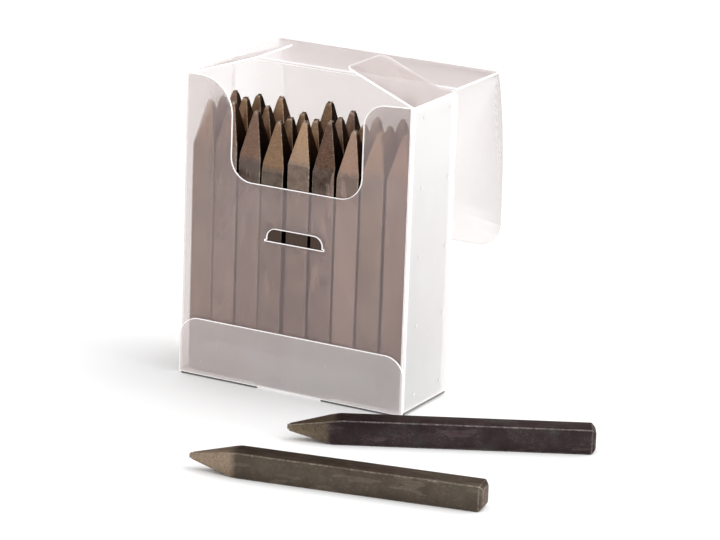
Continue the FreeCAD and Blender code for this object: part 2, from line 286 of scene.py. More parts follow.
# ---- Finishes --------------------------------------------------------------------------------------
@dataclass(frozen=True)
class FrostedSheet:
    """Milky plastic sheet with a fine matt grain: what touches it shows sharp, what stands off blurs."""

    name: str = "frosted_sheet"
    tint: Colour = (0.962, 0.958, 0.954)
    milk: Colour = (0.97, 0.77, 0.76)
    passed: Colour = (0.90, 0.88, 0.87)
    milk_share: float = 0.13
    haze_share: float = 0.06
    back_light: float = 0.22
    blur: float = 0.35
    grain_mm: float = 0.35
    cloud_mm: float = 26.0

    def material(self) -> bpy.types.Material:
        """Build the finish."""
        g = Graph(self.name)
        where = g.place(Vector((1000.0,) * 3))
        grain = g.noise(where, 1 / self.grain_mm, 2.0)
        cloud = g.noise(where, 1 / self.cloud_mm, 2.0)
        scuff = g.noise(g.place(Vector((1000.0, 1000.0, 160.0))), 0.9, 3.0, 0.7).ramp(0.62, 0.78)
        speck = g.noise(where, 1.3, 1.0).ramp(0.78, 0.81)
        normal = g.bump(grain, 0.25, 0.00004)
        milky = g.mix(self.milk, tuple(min(1.0, c * 1.06) for c in self.milk), cloud.ramp(0.35, 0.65))
        face = g.shader(
            "ShaderNodeBsdfPrincipled",
            {
                "Base Color": milky,
                "Roughness": (0.44 + cloud * 0.12 + scuff * 0.1).clamped(),
                "IOR": 1.46,
                "Specular IOR Level": 0.35,
                "Normal": normal,
            },
        )
        glow = g.shader("ShaderNodeBsdfTranslucent", {"Color": self.passed, "Normal": normal})
        body = g.blend(self.back_light, face, glow)
        haze = g.shader(
            "ShaderNodeBsdfRefraction",
            {"Color": self.tint, "Roughness": self.blur, "IOR": 1.4, "Normal": normal},
        )
        clear = g.shader("ShaderNodeBsdfTransparent", {"Color": self.tint})
        through = g.blend(self.haze_share, clear, haze)
        milky_here = cloud * 0.06 + scuff * 0.05 + speck * 0.16 + (self.milk_share - 0.03)
        return g.done(g.blend(milky_here.clamped(), through, body))


@dataclass(frozen=True)
class BrightEdge:
    """Whitened plastic at cuts and folds, with a painted glow: emission stands in for the light carried
    along the sheet.
    """

    name: str = "bright_edge"
    colour: Colour = (0.97, 0.955, 0.955)
    painted_glow: float = 0.25
    clear_share: float = 0.0
    grain_mm: float = 0.25
    shade_gap_half: float = 0.0
    painted_contact_shade: Colour = (0.16, 0.15, 0.145)

    def material(self) -> bpy.types.Material:
        """Build the finish."""
        g = Graph(self.name)
        where = g.place(Vector((1000.0,) * 3))
        grain = g.noise(where, 1 / self.grain_mm, 2.0)
        long = g.noise(where, 0.12, 2.0)
        dull = tuple(0.93 * c for c in self.colour)
        shown = g.mix(self.colour, dull, long.ramp(0.4, 0.7))
        if self.shade_gap_half:
            # Painted shade: the crease is darkened as the contact shadow along the floor, but not where the
            # lock slit cuts it.
            x = g.node("ShaderNodeSeparateXYZ", None, {0: where})
            shown = g.mix(shown, self.painted_contact_shade, x.size().ramp(self.shade_gap_half, self.shade_gap_half + 0.3))
        surface = g.shader(
            "ShaderNodeBsdfPrincipled",
            {
                "Base Color": shown,
                "Roughness": (0.38 + grain * 0.2).clamped(),
                "IOR": 1.49,
                # Painted glow: emission stands in for light carried along the sheet to its edges.
                "Emission Color": self.colour,
                "Emission Strength": self.painted_glow,
                "Normal": g.bump(grain, 0.2, 0.00003),
            },
        )
        clear = g.shader("ShaderNodeBsdfTransparent", {"Color": self.colour})
        return g.done(g.blend(self.clear_share, surface, clear) if self.clear_share else surface)


@dataclass(frozen=True)
class PunchSteel:
    """Oxide-brown tool steel with a ground taper, worn edges, patches and fine scratches; the wear colour at
    the tips also stands in for a painted highlight.
    """

    name: str
    dark: Colour
    light: Colour
    ground: Colour
    worn_and_highlight: Colour
    bloom: Colour
    wear_and_highlight: float = 0.85
    edge_tint: Colour = (0.50, 0.46, 0.45)
    slot_half: float = 7.8
    slot_middle: float = 40.7
    slot_reach: float = 1.7
    front_face: float = -10.9

    def painted_slot_shade(self, g: Graph, ragged: Wire) -> Wire:
        """Painted shade: the front row's steel is darkened where it shows through the carton's lock slot.

        Args:
            g: The material's graph.
            ragged: Noise that breaks up the border.

        Returns:
            The painted shade's share, in the set's own coordinates.
        """
        where = g.place(Vector((1000.0,) * 3))
        x, y, z = (g.node("ShaderNodeSeparateXYZ", None, {0: where}, k) for k in range(3))
        border = (ragged - 0.5) * 5.0
        beside = (x.size() + border).ramp(self.slot_half, self.slot_half + 1.2)
        above = z - self.slot_middle
        off = (above.size() + border).ramp(self.slot_reach, self.slot_reach + 1.6)
        inside = y.ramp(self.front_face, self.front_face + 0.2)
        return (1.0 - beside) * (1.0 - off) * (1.0 - inside)

    def material(self) -> bpy.types.Material:
        """Build the finish."""
        g = Graph(self.name)
        edge = g.node("ShaderNodeAttribute", {"attribute_name": "edge"}, output="Fac")
        taper = g.node("ShaderNodeAttribute", {"attribute_name": "ground"}, output="Fac")
        tone = g.node("ShaderNodeAttribute", {"attribute_name": "tone"}, output="Fac")
        bar = g.place(Vector((1.0, 1.0, 1.0)), "bar")
        drawn = g.place(Vector((1.0, 1.0, 0.07)), "bar")
        across = g.place(Vector((0.22, 0.22, 1.0)), "bar")
        patch = g.noise(bar, 0.22, 4.0, 0.62)
        mottle = g.noise(bar, 1.3, 4.0, 0.65)
        streak = g.noise(drawn, 2.6, 3.0, 0.6)
        lines = g.noise(across, 4.5, 3.0, 0.7)
        pits = g.noise(bar, 3.2, 3.0, 0.7).ramp(0.66, 0.76)
        scratch = g.noise(g.place(Vector((3.0, 1.1, 0.5)), "bar"), 1.6, 2.0, 0.4)
        scratch = 1.0 - (scratch - 0.5).size().ramp(0.0, 0.012)
        scratch = scratch * patch.ramp(0.45, 0.62)
        rubbed = g.noise(g.place(Vector((0.5, 0.5, 0.10)), "bar"), 1.0, 3.0, 0.55).ramp(0.57, 0.63)
        rubbed = rubbed * (0.5 + streak.ramp(0.3, 0.7) * 0.5)
        shade = tone * 0.75 + patch.ramp(0.3, 0.7) * 0.22 + mottle.ramp(0.3, 0.75) * 0.15 - 0.08
        shade = (shade + rubbed * 0.5).clamped()
        shank = g.mix(self.dark, self.light, shade)
        shank = g.mix(shank, self.bloom, (g.noise(bar, 0.12, 2.0).ramp(0.5, 0.72) * 0.55).clamped())
        dull_ground = tuple(0.27 * c**1.55 for c in self.ground)
        polish = (tone * 0.85 + lines.ramp(0.25, 0.8) * 0.3 - 0.05).clamped()
        ground = g.mix(dull_ground, self.ground, polish)
        ground = g.mix(ground, shank, mottle.ramp(0.56, 0.75) * 0.5)
        bare = (taper.ramp(0.0, 1.0) + (mottle - 0.55) * 1.6 * taper.ramp(0.0, 0.6)).clamped()
        colour = g.mix(shank, ground, bare)
        # Worn edges and scratches lighten the steel; at the tips and the letter this is partly a painted
        # highlight.
        wear_and_highlight = (edge * (0.2 + mottle.ramp(0.4, 0.7) * 0.8) + scratch * 0.35).clamped()
        colour = g.mix(colour, self.worn_and_highlight, wear_and_highlight * self.wear_and_highlight)
        # Painted shade: a tone below zero, set on the standing punches' +X faces, darkens the colour
        # further.
        colour = g.mix(colour, tuple(0.4 * c for c in self.dark), (0.0 - tone).clamped())
        # Painted shade: darken the steel seen through the lock slot.
        colour = g.mix(colour, tuple(1.3 * c for c in self.dark), self.painted_slot_shade(g, mottle) * 0.85)
        colour = g.mix(colour, tuple(0.35 * c for c in self.dark), pits * 0.6 * (1.0 - edge))
        rough = 0.27 + mottle * 0.18 + patch * 0.10 - wear_and_highlight * 0.10 + pits * 0.15 - taper * 0.04
        height = streak * 0.5 + lines * taper * 0.9 + mottle * 0.55 - pits * 0.8 - scratch * 0.5
        surface = g.shader(
            "ShaderNodeBsdfPrincipled",
            {
                "Base Color": colour,
                "Metallic": (0.94 - pits * 0.4).clamped(),
                "Roughness": rough.clamped(),
                "IOR": 1.5,
                "Specular Tint": self.edge_tint,
                "Normal": g.bump(height, 0.55, 0.00006),
            },
        )
        return g.done(surface)


@dataclass(frozen=True)
class PlainFloor:
    """Plain pale studio floor."""

    name: str = "studio_floor"
    colour: Colour = (0.93, 0.93, 0.93)

    def material(self) -> bpy.types.Material:
        """Build the finish."""
        g = Graph(self.name)
        return g.done(g.shader("ShaderNodeBsdfDiffuse", {"Color": self.colour}))


@dataclass
class Finishes:
    """Every material of the set, made once."""

    sheet: bpy.types.Material
    matt: bpy.types.Material
    double: bpy.types.Material
    welded: bpy.types.Material
    edge: bpy.types.Material
    crease: bpy.types.Material
    foot: bpy.types.Material
    steel: bpy.types.Material
    steel_rosy: bpy.types.Material
    steel_olive: bpy.types.Material
    steel_black: bpy.types.Material

    @classmethod
    def make(cls) -> "Finishes":
        """Build all of them."""
        brown = PunchSteel(
            "punch_steel_brown",
            dark=(0.040, 0.027, 0.021),
            light=(0.310, 0.226, 0.178),
            ground=(0.47, 0.298, 0.182),
            worn_and_highlight=(0.82, 0.68, 0.54),
            bloom=(0.15, 0.120, 0.10),
        )
        rosy = replace(
            brown,
            name="punch_steel_rosy",
            light=(0.315, 0.228, 0.192),
            ground=(0.45, 0.288, 0.215),
            bloom=(0.17, 0.135, 0.120),
        )
        olive = PunchSteel(
            "punch_steel_olive",
            dark=(0.050, 0.038, 0.029),
            light=(0.145, 0.116, 0.092),
            ground=(0.50, 0.385, 0.285),
            worn_and_highlight=(0.58, 0.48, 0.40),
            bloom=(0.100, 0.090, 0.066),
        )
        black = PunchSteel(
            "punch_steel_black",
            dark=(0.022, 0.015, 0.016),
            light=(0.090, 0.062, 0.064),
            ground=(0.36, 0.285, 0.195),
            worn_and_highlight=(0.52, 0.46, 0.44),
            bloom=(0.050, 0.062, 0.052),
        )
        return cls(
            FrostedSheet().material(),
            FrostedSheet("frosted_sheet_matt", milk_share=0.14, haze_share=0.52, blur=0.45).material(),
            FrostedSheet("frosted_sheet_double", milk=(0.99, 0.91, 0.905), milk_share=0.38).material(),
            FrostedSheet("frosted_sheet_welded", milk=(0.99, 0.975, 0.97), milk_share=0.68).material(),
            BrightEdge().material(),
            BrightEdge("fold_crease", painted_glow=0.08, clear_share=0.45).material(),
            BrightEdge("bottom_crease", painted_glow=0.0, shade_gap_half=9.15).material(),
            brown.material(),
            rosy.material(),
            olive.material(),
            black.material(),
        )


# ---- Flat sheet pieces -----------------------------------------------------------------------------
@dataclass
class Loop:
    """A closed outline in a sheet's own plane, in millimetres, with rounded corners."""

    corners: Sequence[Corner]
    edges: Sequence[Edge] = ()
    arc_steps: int = 8

    def sampled(self) -> Tuple[List[Vector], List[Edge]]:
        """Round the corners.

        Returns:
            The points in order, and how the edge that leaves each point ends.
        """
        points: List[Vector] = []
        kinds: List[Edge] = []
        count = len(self.corners)
        edges = list(self.edges) or [Edge.CUT] * count
        for i, (u, v, radius) in enumerate(self.corners):
            here = Vector((u, v))
            before = (Vector(self.corners[i - 1][:2]) - here).normalized()
            after = (Vector(self.corners[(i + 1) % count][:2]) - here).normalized()
            if radius <= 0:
                points.append(here)
                kinds.append(edges[i])
                continue
            half = before.angle(after) / 2
            reach = radius / math.tan(half)
            centre = here + (before + after).normalized() * (radius / math.sin(half))
            start = here + before * reach - centre
            end = here + after * reach - centre
            turn = start.angle_signed(end)
            for step in range(self.arc_steps + 1):
                angle = -turn * step / self.arc_steps
                spin = Matrix.Rotation(angle, 2)
                points.append(centre + spin @ start)
                kinds.append(Edge.CUT if step < self.arc_steps else edges[i])
        return points, kinds


@dataclass
class SheetPiece:
    """One flat piece of the sheet with rounded bright lips along its cut edges: whitened, with a painted
    glow.

    The outline runs either way round. put(u, v, w) places a point: u and v along the sheet and w through its
    thickness, in millimetres, to the frame in metres.
    """

    name: str
    body: str
    outline: Loop
    put: Callable[[float, float, float], Vector]
    thickness: float
    holes: Sequence[Loop] = ()
    lip: float = 0.15
    round_over: float = 0.1
    fold_lip: float = 0.08
    cuts: Sequence[float] = ()

    def inset(self, points: List[Vector], kinds: List[Edge], solid: bool) -> List[Vector]:
        """Move an outline towards the material by the width of its lips.

        Args:
            points: The outline.
            kinds: How each edge ends.
            solid: True for the outer outline, False for a hole.

        Returns:
            The moved points.
        """
        count = len(points)
        area = sum(points[i - 1].cross(points[i]) for i in range(count))
        turn = 1.0 if (area > 0) == solid else -1.0
        moved = []
        for i, here in enumerate(points):
            back = (here - points[i - 1]).normalized()
            on = (points[(i + 1) % count] - here).normalized()
            n1 = Vector((-back.y, back.x)) * turn
            n2 = Vector((-on.y, on.x)) * turn
            d1 = self.lip if kinds[i - 1] is Edge.CUT else self.fold_lip
            d2 = self.lip if kinds[i] is Edge.CUT else self.fold_lip
            det = n1.x * n2.y - n1.y * n2.x
            if abs(det) < NEARLY_STRAIGHT:
                moved.append(here + (n1 * d1 + n2 * d2) / 2)
                continue
            x = (d1 * n2.y - d2 * n1.y) / det
            y = (n1.x * d2 - n2.x * d1) / det
            moved.append(here + Vector((x, y)))
        return moved

    def build(
        self, face: bpy.types.Material, matt: bpy.types.Material, edge: bpy.types.Material
    ) -> bpy.types.Object:
        """Make the piece, finish it, and set it on its body.

        Args:
            face: The finish of its smooth face.
            matt: The finish of its matt face, at w = thickness.
            edge: The finish of its lips.

        Returns:
            The new object.
        """
        bm = bmesh.new()
        t = self.thickness
        levels = (0.0, self.round_over, t - self.round_over, t)
        flats: List[List[Vector]] = []
        rings = []
        for loop, solid in [(self.outline, True)] + [(hole, False) for hole in self.holes]:
            points, kinds = loop.sampled()
            inner = self.inset(points, kinds, solid)
            flats.append(inner)
            rows = []
            for level, line in zip(levels, (inner, points, points, inner)):
                rows.append([bm.verts.new((p.x, p.y, level)) for p in line])
            rings.append((rows, kinds))
        flat = [v for line in flats for v in line]
        for side in (0, 3):
            verts = [v for rows, _ in rings for v in rows[side]]
            for tri in tessellate_polygon([[Vector((p.x, p.y, 0)) for p in line] for line in flats]):
                a, b, c = (flat[k] for k in tri)
                if abs((b - a).cross(c - a)) > SAME_AREA:
                    new = bm.faces.new([verts[k] for k in tri])
                    new.material_index = 2 if side == 3 else 0
        for rows, kinds in rings:
            count = len(kinds)
            for low, high in zip(rows, rows[1:]):
                for i in range(count):
                    j = (i + 1) % count
                    bm.faces.new((low[i], low[j], high[j], high[i])).material_index = 1
        for cut in self.cuts:
            geometry = list(bm.verts) + list(bm.edges) + list(bm.faces)
            bmesh.ops.bisect_plane(
                bm, geom=geometry, dist=SAME_PLACE, plane_co=(0, cut, 0), plane_no=(0, 1, 0)
            )
        for vert in bm.verts:
            vert.co = self.put(*vert.co)
        bmesh.ops.recalc_face_normals(bm, faces=bm.faces)
        return finish_mesh(bm, self.name, self.body, (face, edge, matt))


def finish_mesh(
    bm: bmesh.types.BMesh,
    name: str,
    body: str,
    materials: Sequence[bpy.types.Material],
) -> bpy.types.Object:
    """Turn a mesh into a piece that stands for the CAD node of its name and rides on a body.

    Args:
        bm: The mesh, in metres in the frame. It is freed.
        name: The CAD node, which also names the piece.
        body: The body to ride on.
        materials: The piece's materials in slot order.

    Returns:
        The new object.
    """
    mesh = bpy.data.meshes.new(name + "_mesh")
    bm.to_mesh(mesh)
    bm.free()
    for material in materials:
        mesh.materials.append(material)
    mesh.shade_smooth()
    mesh.set_sharp_from_angle(angle=math.radians(SHARP_DEGREES))
    piece = bpy.data.objects.new(name + "_piece", mesh)
    bpy.context.scene.collection.objects.link(piece)
    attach(piece, body)
    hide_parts(name)
    LOG.info("%s: %d faces, on %s", piece.name, len(mesh.polygons), body)
    return piece


def millimetres(node: str) -> Tuple[Vector, Vector]:
    """A CAD node's lowest and highest corner in millimetres."""
    low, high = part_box(node)
    return low / MM, high / MM


def upright_x(y: float, way: float) -> Callable[[float, float, float], Vector]:
    """Places a sheet that stands along X: u is x, v is z, and w goes from y the given way."""
    return lambda u, v, w: Vector((u, y + way * w, v)) * MM


def upright_y(x: float, way: float) -> Callable[[float, float, float], Vector]:
    """Places a sheet that stands along Y: u is y, v is z, and w goes from x the given way."""
    return lambda u, v, w: Vector((x + way * w, u, v)) * MM


def level(z: float) -> Callable[[float, float, float], Vector]:
    """Places a sheet that lies level: u is x, v is y, and w goes up from z."""
    return lambda u, v, w: Vector((u, v, z + w)) * MM


def box_loop(low: Tuple[float, float], high: Tuple[float, float], edges: str = "cccc") -> Loop:
    """A plain rectangle from its lower left corner, the edges named c for cut or f for fold.

    Args:
        low: Its lower left corner.
        high: Its upper right corner.
        edges: Bottom, right, top and left edge.

    Returns:
        The outline.
    """
    corners = ((low[0], low[1], 0), (high[0], low[1], 0), (high[0], high[1], 0), (low[0], high[1], 0))
    return Loop(corners, named_edges(edges))


def named_edges(letters: str) -> List[Edge]:
    """Edges from a word of c for cut and f for fold."""
    return [Edge.CUT if letter == "c" else Edge.FOLD for letter in letters]


# ---- Carton ----------------------------------------------------------------------------------------
@dataclass
class Carton:
    """The folded body of the carton: walls, bottom and the welded seam."""

    finishes: Finishes
    sheet: float = 0.5
    scoop_left: float = -18.8
    scoop_right: float = 18.5
    scoop_depth: float = 25.75
    scoop_floor_r: float = 6.0
    shoulder_left_r: float = 9.5
    shoulder_right_r: float = 6.3
    shoulder_dip: float = 0.8
    slot_half: float = 7.9
    slot_low: float = 39.06
    slot_high: float = 42.36
    slot_r: float = 2.4
    slot_tick: float = 0.5
    slot_tick_high: float = 0.3
    lock_tab_half: float = 9.15
    lock_tab_slack: float = 0.15
    bottom_flap_r: float = 5.5
    folds: Tuple[str, ...] = (
        "bottom_back_fold",
        "bottom_front_fold",
        "bottom_left_fold",
        "bottom_right_fold",
    )

    def build(self) -> None:
        """Build every piece of the carton's body."""
        self.front_panel()
        self.back_panel()
        self.side_panels()
        self.bottom()
        self.bottom_front_flap()
        for name, side, end in (("left", -1, -1), ("right", 1, -1), ("left", -1, 1), ("right", 1, 1)):
            self.upright_fold(("back_" if end > 0 else "front_") + name + "_fold", side, end)
        # The bottom folds carry a painted contact shade.
        for fold in self.folds:
            dress(fold, self.finishes.foot)
        dress("seam_spot_welds", self.finishes.welded)

    def front_panel(self) -> None:
        """The front with its finger scoop, its lock slot and the tab that locks the bottom."""
        low, high = millimetres("front_panel")
        foot = low.z + self.sheet
        top = high.z
        floor = top - self.scoop_depth
        tab = self.lock_tab_half
        corners = (
            (low.x, foot, 0),
            (-tab, foot, 0),
            (-tab, low.z, 0),
            (tab, low.z, 0),
            (tab, foot, 0),
            (high.x, foot, 0),
            (high.x, top, 0),
            (self.scoop_right, top - self.shoulder_dip, self.shoulder_right_r),
            (self.scoop_right, floor, self.scoop_floor_r),
            (self.scoop_left, floor, self.scoop_floor_r),
            (self.scoop_left, top, self.shoulder_left_r),
            (low.x, top, 0),
        )
        tick = self.slot_half + self.slot_tick
        tick_high = self.slot_low + self.slot_tick_high
        slot = (
            (-tick, self.slot_low, 0),
            (tick, self.slot_low, 0),
            (tick, tick_high, 0),
            (self.slot_half, tick_high, 0),
            (self.slot_half, self.slot_high, self.slot_r),
            (-self.slot_half, self.slot_high, self.slot_r),
            (-self.slot_half, tick_high, 0),
            (-tick, tick_high, 0),
        )
        SheetPiece(
            "front_panel",
            "carton",
            Loop(corners, named_edges("cccccfcccccf"), arc_steps=12),
            upright_x(low.y, 1),
            self.sheet,
            holes=(Loop(slot),),
        ).build(self.finishes.sheet, self.finishes.matt, self.finishes.edge)

    def back_panel(self) -> None:
        """The back, between its two upright folds, the bottom fold and the lid's fold."""
        low, high = millimetres("back_panel")
        loop = box_loop((low.x, low.z), (high.x, high.z), "fcfc")
        self.plain("back_panel", loop, upright_x(high.y, -1))

    def side_panels(self) -> None:
        """The left side, the right side's outer layer and the seam flap inside it."""
        low, high = millimetres("left_side_panel")
        loop = box_loop((low.y, low.z), (high.y, high.z), "cfff")
        self.plain("left_side_panel", loop, upright_y(low.x, 1))
        for name, edges in (("right_side_panel", "cfff"), ("seam_flap", "cccf")):
            low, high = millimetres(name)
            loop = box_loop((low.y, low.z), (high.y, high.z), edges)
            self.plain(name, loop, upright_y(high.x, -1), self.finishes.welded)

    def upright_fold(self, name: str, side: int, end: int, steps: int = 9) -> None:
        """A quarter-round upright fold with a whitened crease down its middle, which has a painted glow.

        Args:
            name: The CAD node that it stands for.
            side: -1 on the left, 1 on the right.
            end: -1 at the front, 1 at the back.
            steps: How many flats make the quarter round.
        """
        low, high = millimetres(name)
        x = low.x if side > 0 else high.x
        y = low.y if end > 0 else high.y
        bm = bmesh.new()
        columns = []
        for step in range(steps + 2):
            angle = math.radians(90 * step / steps)
            out = self.sheet if step <= steps else 0.0
            at = (x + side * out * math.cos(angle), y + end * out * math.sin(angle))
            columns.append([bm.verts.new(Vector((*at, z)) * MM) for z in (low.z, high.z)])
        for i, column in enumerate(columns):
            after = columns[(i + 1) % len(columns)]
            face = bm.faces.new((column[0], after[0], after[1], column[1]))
            face.material_index = 1 if steps // 3 <= i < steps - steps // 3 else 0
        for row in (0, 1):
            bm.faces.new([column[row] for column in columns])
        bmesh.ops.recalc_face_normals(bm, faces=bm.faces)
        body = self.finishes.double if side > 0 else self.finishes.sheet
        finish_mesh(bm, name, "carton", (body, self.finishes.edge))

    def bottom(self) -> None:
        """The bottom with the slit for the lock tab, and the two inner flaps that the punches stand on."""
        low, high = millimetres("bottom_panel")
        slit = self.lock_tab_half + self.lock_tab_slack
        notch = low.y + self.sheet + self.lock_tab_slack
        corners = (
            (low.x, low.y, 0),
            (-slit, low.y, 0),
            (-slit, notch, 0),
            (slit, notch, 0),
            (slit, low.y, 0),
            (high.x, low.y, 0),
            (high.x, high.y, 0),
            (low.x, high.y, 0),
        )
        loop = Loop(corners, named_edges("fcccfcfc"))
        self.plain("bottom_panel", loop, level(low.z), self.finishes.double)
        for name in ("bottom_left_flap", "bottom_right_flap"):
            low, high = millimetres(name)
            loop = box_loop((low.x, low.y), (high.x, high.y), "cccc")
            self.plain(name, loop, level(low.z), self.finishes.double)

    def bottom_front_flap(self) -> None:
        """The low flap outside the front, with rounded upper corners."""
        low, high = millimetres("bottom_front_flap")
        r = self.bottom_flap_r
        corners = ((low.x, low.z, 0), (high.x, low.z, 0), (high.x, high.z, r), (low.x, high.z, r))
        loop = Loop(corners, arc_steps=12)
        self.plain("bottom_front_flap", loop, upright_x(low.y, 1), self.finishes.double)

    def plain(
        self,
        name: str,
        loop: Loop,
        put: Callable[[float, float, float], Vector],
        finish: Optional[bpy.types.Material] = None,
    ) -> None:
        """Build one flat piece of the carton.

        Args:
            name: The CAD node that it stands for.
            loop: Its outline.
            put: Places its points.
            finish: Its finish, where it isn't the single sheet's.
        """
        piece = SheetPiece(name, "carton", loop, put, self.sheet)
        matt = finish or self.finishes.matt
        piece.build(finish or self.finishes.sheet, matt, self.finishes.edge)


@dataclass
class Lid:
    """The lid and the front flap that hangs from it, with the tongue for the lock slot."""

    finishes: Finishes
    sheet: float = 0.5
    flap_length: float = 48.0
    flap_r: float = 7.0
    flap_hang: float = -83.5
    flap_bow: float = 2.1
    bow_skew: float = 0.8
    shut_share: float = 0.08
    strips: int = 16
    tongue_length: float = 10.8
    tongue_half: float = 7.3
    slit: float = 0.5

    def build(self) -> None:
        """Build the lid's panel and flap, and finish its folds."""
        low, high = millimetres("lid_panel")
        loop = box_loop((low.x, low.y), (high.x, high.y), "fcfc")
        piece = SheetPiece("lid_panel", "lid", loop, level(low.z), self.sheet)
        piece.build(self.finishes.sheet, self.finishes.matt, self.finishes.edge)
        self.front_flap(low.x, high.x)
        dress("lid_fold", self.finishes.crease)
        dress("lid_flap_fold", self.finishes.crease)

    def front_flap(self, left: float, right: float) -> None:
        """The hanging flap. Two slits free its tongue.

        Args:
            left: The lid's left edge.
            right: The lid's right edge.
        """
        low, high = millimetres("lid_flap_fold")
        axis = (low + high) / 2
        start = (high.z - low.z) / 2
        end = self.flap_length
        slit_top = end - self.tongue_length
        inner = self.tongue_half - self.slit / 2
        outer = self.tongue_half + self.slit / 2
        corners = [(left, start, 0), (right, start, 0), (right, end, self.flap_r)]
        for side in (1, -1):
            pair = (outer, inner) if side == 1 else (inner, outer)
            corners += [(side * pair[0], end, 0), (side * pair[0], slit_top, 0)]
            corners += [(side * pair[1], slit_top, 0), (side * pair[1], end, 0)]
        corners.append((left, end, self.flap_r))
        loop = Loop(corners, named_edges("f" + "c" * (len(corners) - 1)), arc_steps=12)
        tilt = math.radians(self.flap_hang)
        along = Vector((0, math.cos(tilt), math.sin(tilt)))
        through = Vector((0, -math.sin(tilt), math.cos(tilt)))
        root = Vector((0, axis.y, axis.z))

        def put(u: float, v: float, w: float) -> Vector:
            """Place a point of the flap, drawn straight out from its fold and bowed by its own spring."""
            bow = self.flap_bow * math.sin(math.pi * min(1.0, v / end) ** self.bow_skew)
            return (root + Vector((u, 0, 0)) + along * v + through * (w - self.sheet / 2 + bow)) * MM

        cuts = [end * k / self.strips for k in range(1, self.strips)]
        piece = SheetPiece("lid_front_flap", "lid_flap", loop, put, self.sheet, cuts=cuts)
        flap = piece.build(self.finishes.sheet, self.finishes.matt, self.finishes.edge)
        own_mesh(flap)


@dataclass
class DustFlap:
    """One of the two flaps that close over the punches under the lid."""

    finishes: Finishes
    name: str
    side: int
    raised: float
    sheet: float = 0.5
    length: float = 21.0
    relief: float = 2.4
    relief_start: float = 1.75
    relief_end: float = 3.4
    front_r: float = 1.8
    back_r: float = 2.4

    def build(self) -> None:
        """Build the flap and finish its fold."""
        fold_low, fold_high = millimetres(self.name + "_dust_fold")
        axis = (fold_low + fold_high) / 2
        start = (fold_high.z - fold_low.z) / 2
        front = fold_low.y
        step = fold_high.y
        relief = step - self.relief
        corners = (
            (start, front, 0),
            (self.length, front, self.front_r),
            (self.length, relief, self.back_r),
            (self.relief_end, relief, 0),
            (self.relief_start, step, 0),
            (start, step, 0),
        )
        tilt = math.radians(self.raised)
        along = Vector((-self.side * math.cos(tilt), 0, math.sin(tilt)))
        through = Vector((self.side * math.sin(tilt), 0, math.cos(tilt)))

        def put(u: float, v: float, w: float) -> Vector:
            """Place a point of the flap, drawn straight out from its fold."""
            return (Vector((axis.x, v, axis.z)) + along * u + through * (w - self.sheet / 2)) * MM

        loop = Loop(corners, named_edges("cccccf"))
        piece = SheetPiece(self.name + "_dust_flap", self.name + "_dust", loop, put, self.sheet)
        piece.build(self.finishes.sheet, self.finishes.matt, self.finishes.edge)
        dress(self.name + "_dust_fold", self.finishes.crease)


def dress(node: str, material: bpy.types.Material) -> None:
    """Give a CAD node that keeps its shape its finish.

    Args:
        node: The CAD node.
        material: Its finish.
    """
    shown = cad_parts[node]
    shown.data.materials.clear()
    shown.data.materials.append(material)
    LOG.info("%s: finished", node)


